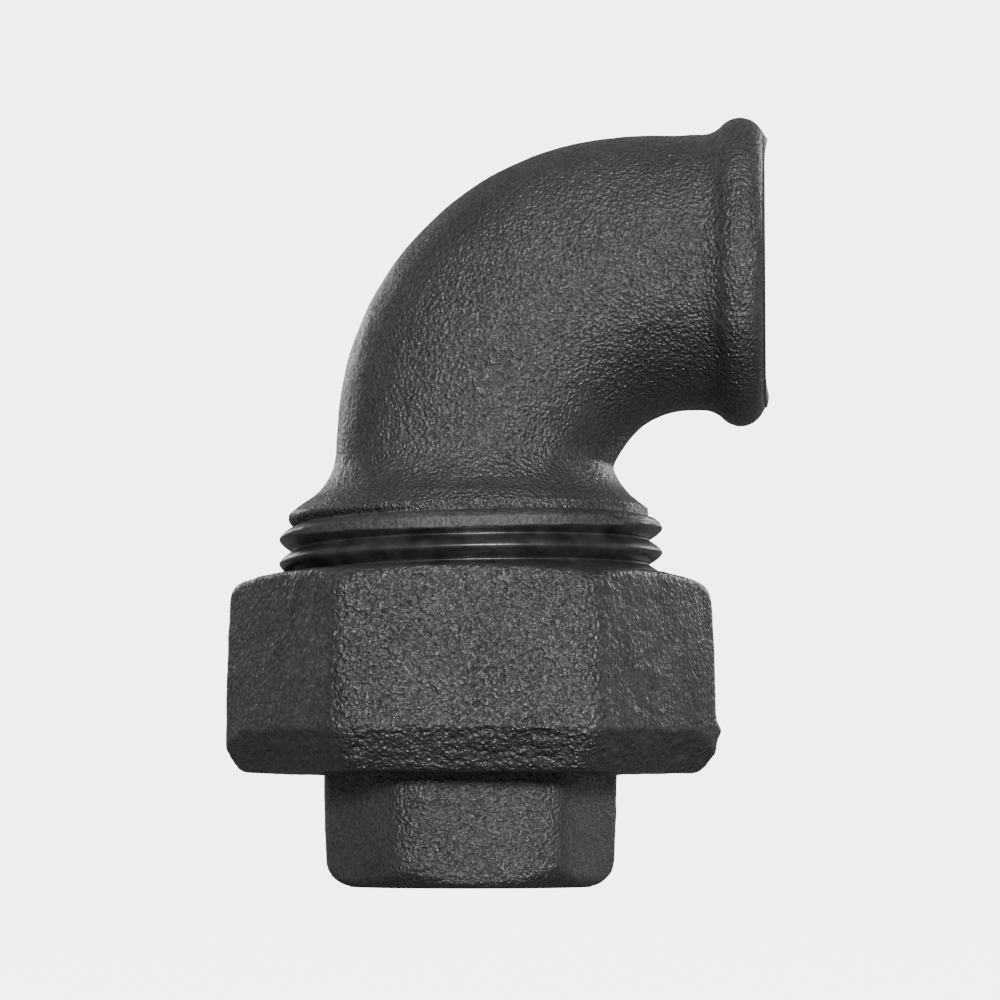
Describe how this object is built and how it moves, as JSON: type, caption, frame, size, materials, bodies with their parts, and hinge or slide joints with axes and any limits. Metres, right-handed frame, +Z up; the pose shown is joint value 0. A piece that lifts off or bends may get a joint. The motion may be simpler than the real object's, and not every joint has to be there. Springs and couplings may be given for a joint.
{
  "type": "union elbow",
  "caption": "Right-angle pipe elbow in black cast iron with a tapped outlet on one leg and a screwed union with a hexagon nut and tailpiece on the other.",
  "frame": {"origin": "centre of the tailpiece's lower end face, on which the fitting stands", "axes": "+Z up along the union's axis, +X out of the tapped outlet"},
  "size_m": [0.0517, 0.0422, 0.0726],
  "materials": {
    "elbow_iron": "as cast, black",
    "nut_iron": "as cast, black",
    "tail_iron": "as cast, black",
    "gasket_fibre": "matt fibre sheet"
  },
  "bodies": {
    "elbow": {"elbow_body": "elbow_iron"},
    "gasket": {"gasket": "gasket_fibre"},
    "nut": {"union_nut": "nut_iron"},
    "tail": {"tailpiece": "tail_iron"}
  },
  "joints": [
    {"name": "union_opening", "type": "slide", "parent": "elbow", "child": "gasket", "axis": [0, 0, -1], "range_m": [0, 0.0081]},
    {"name": "nut_turn", "type": "hinge", "parent": "gasket", "child": "nut", "pos_m": [0, 0, 0.02], "axis": [0, 0, -1], "range_deg": [0, 1260]},
    {"name": "tailpiece_swivel", "type": "hinge", "parent": "gasket", "child": "tail", "pos_m": [0, 0, 0.02], "axis": [0, 0, 1], "continuous": true}
  ],
  "couplings": [
    {"joint": "union_opening", "follows": "nut_turn", "m_per_rad": 0.00036749}
  ]
}
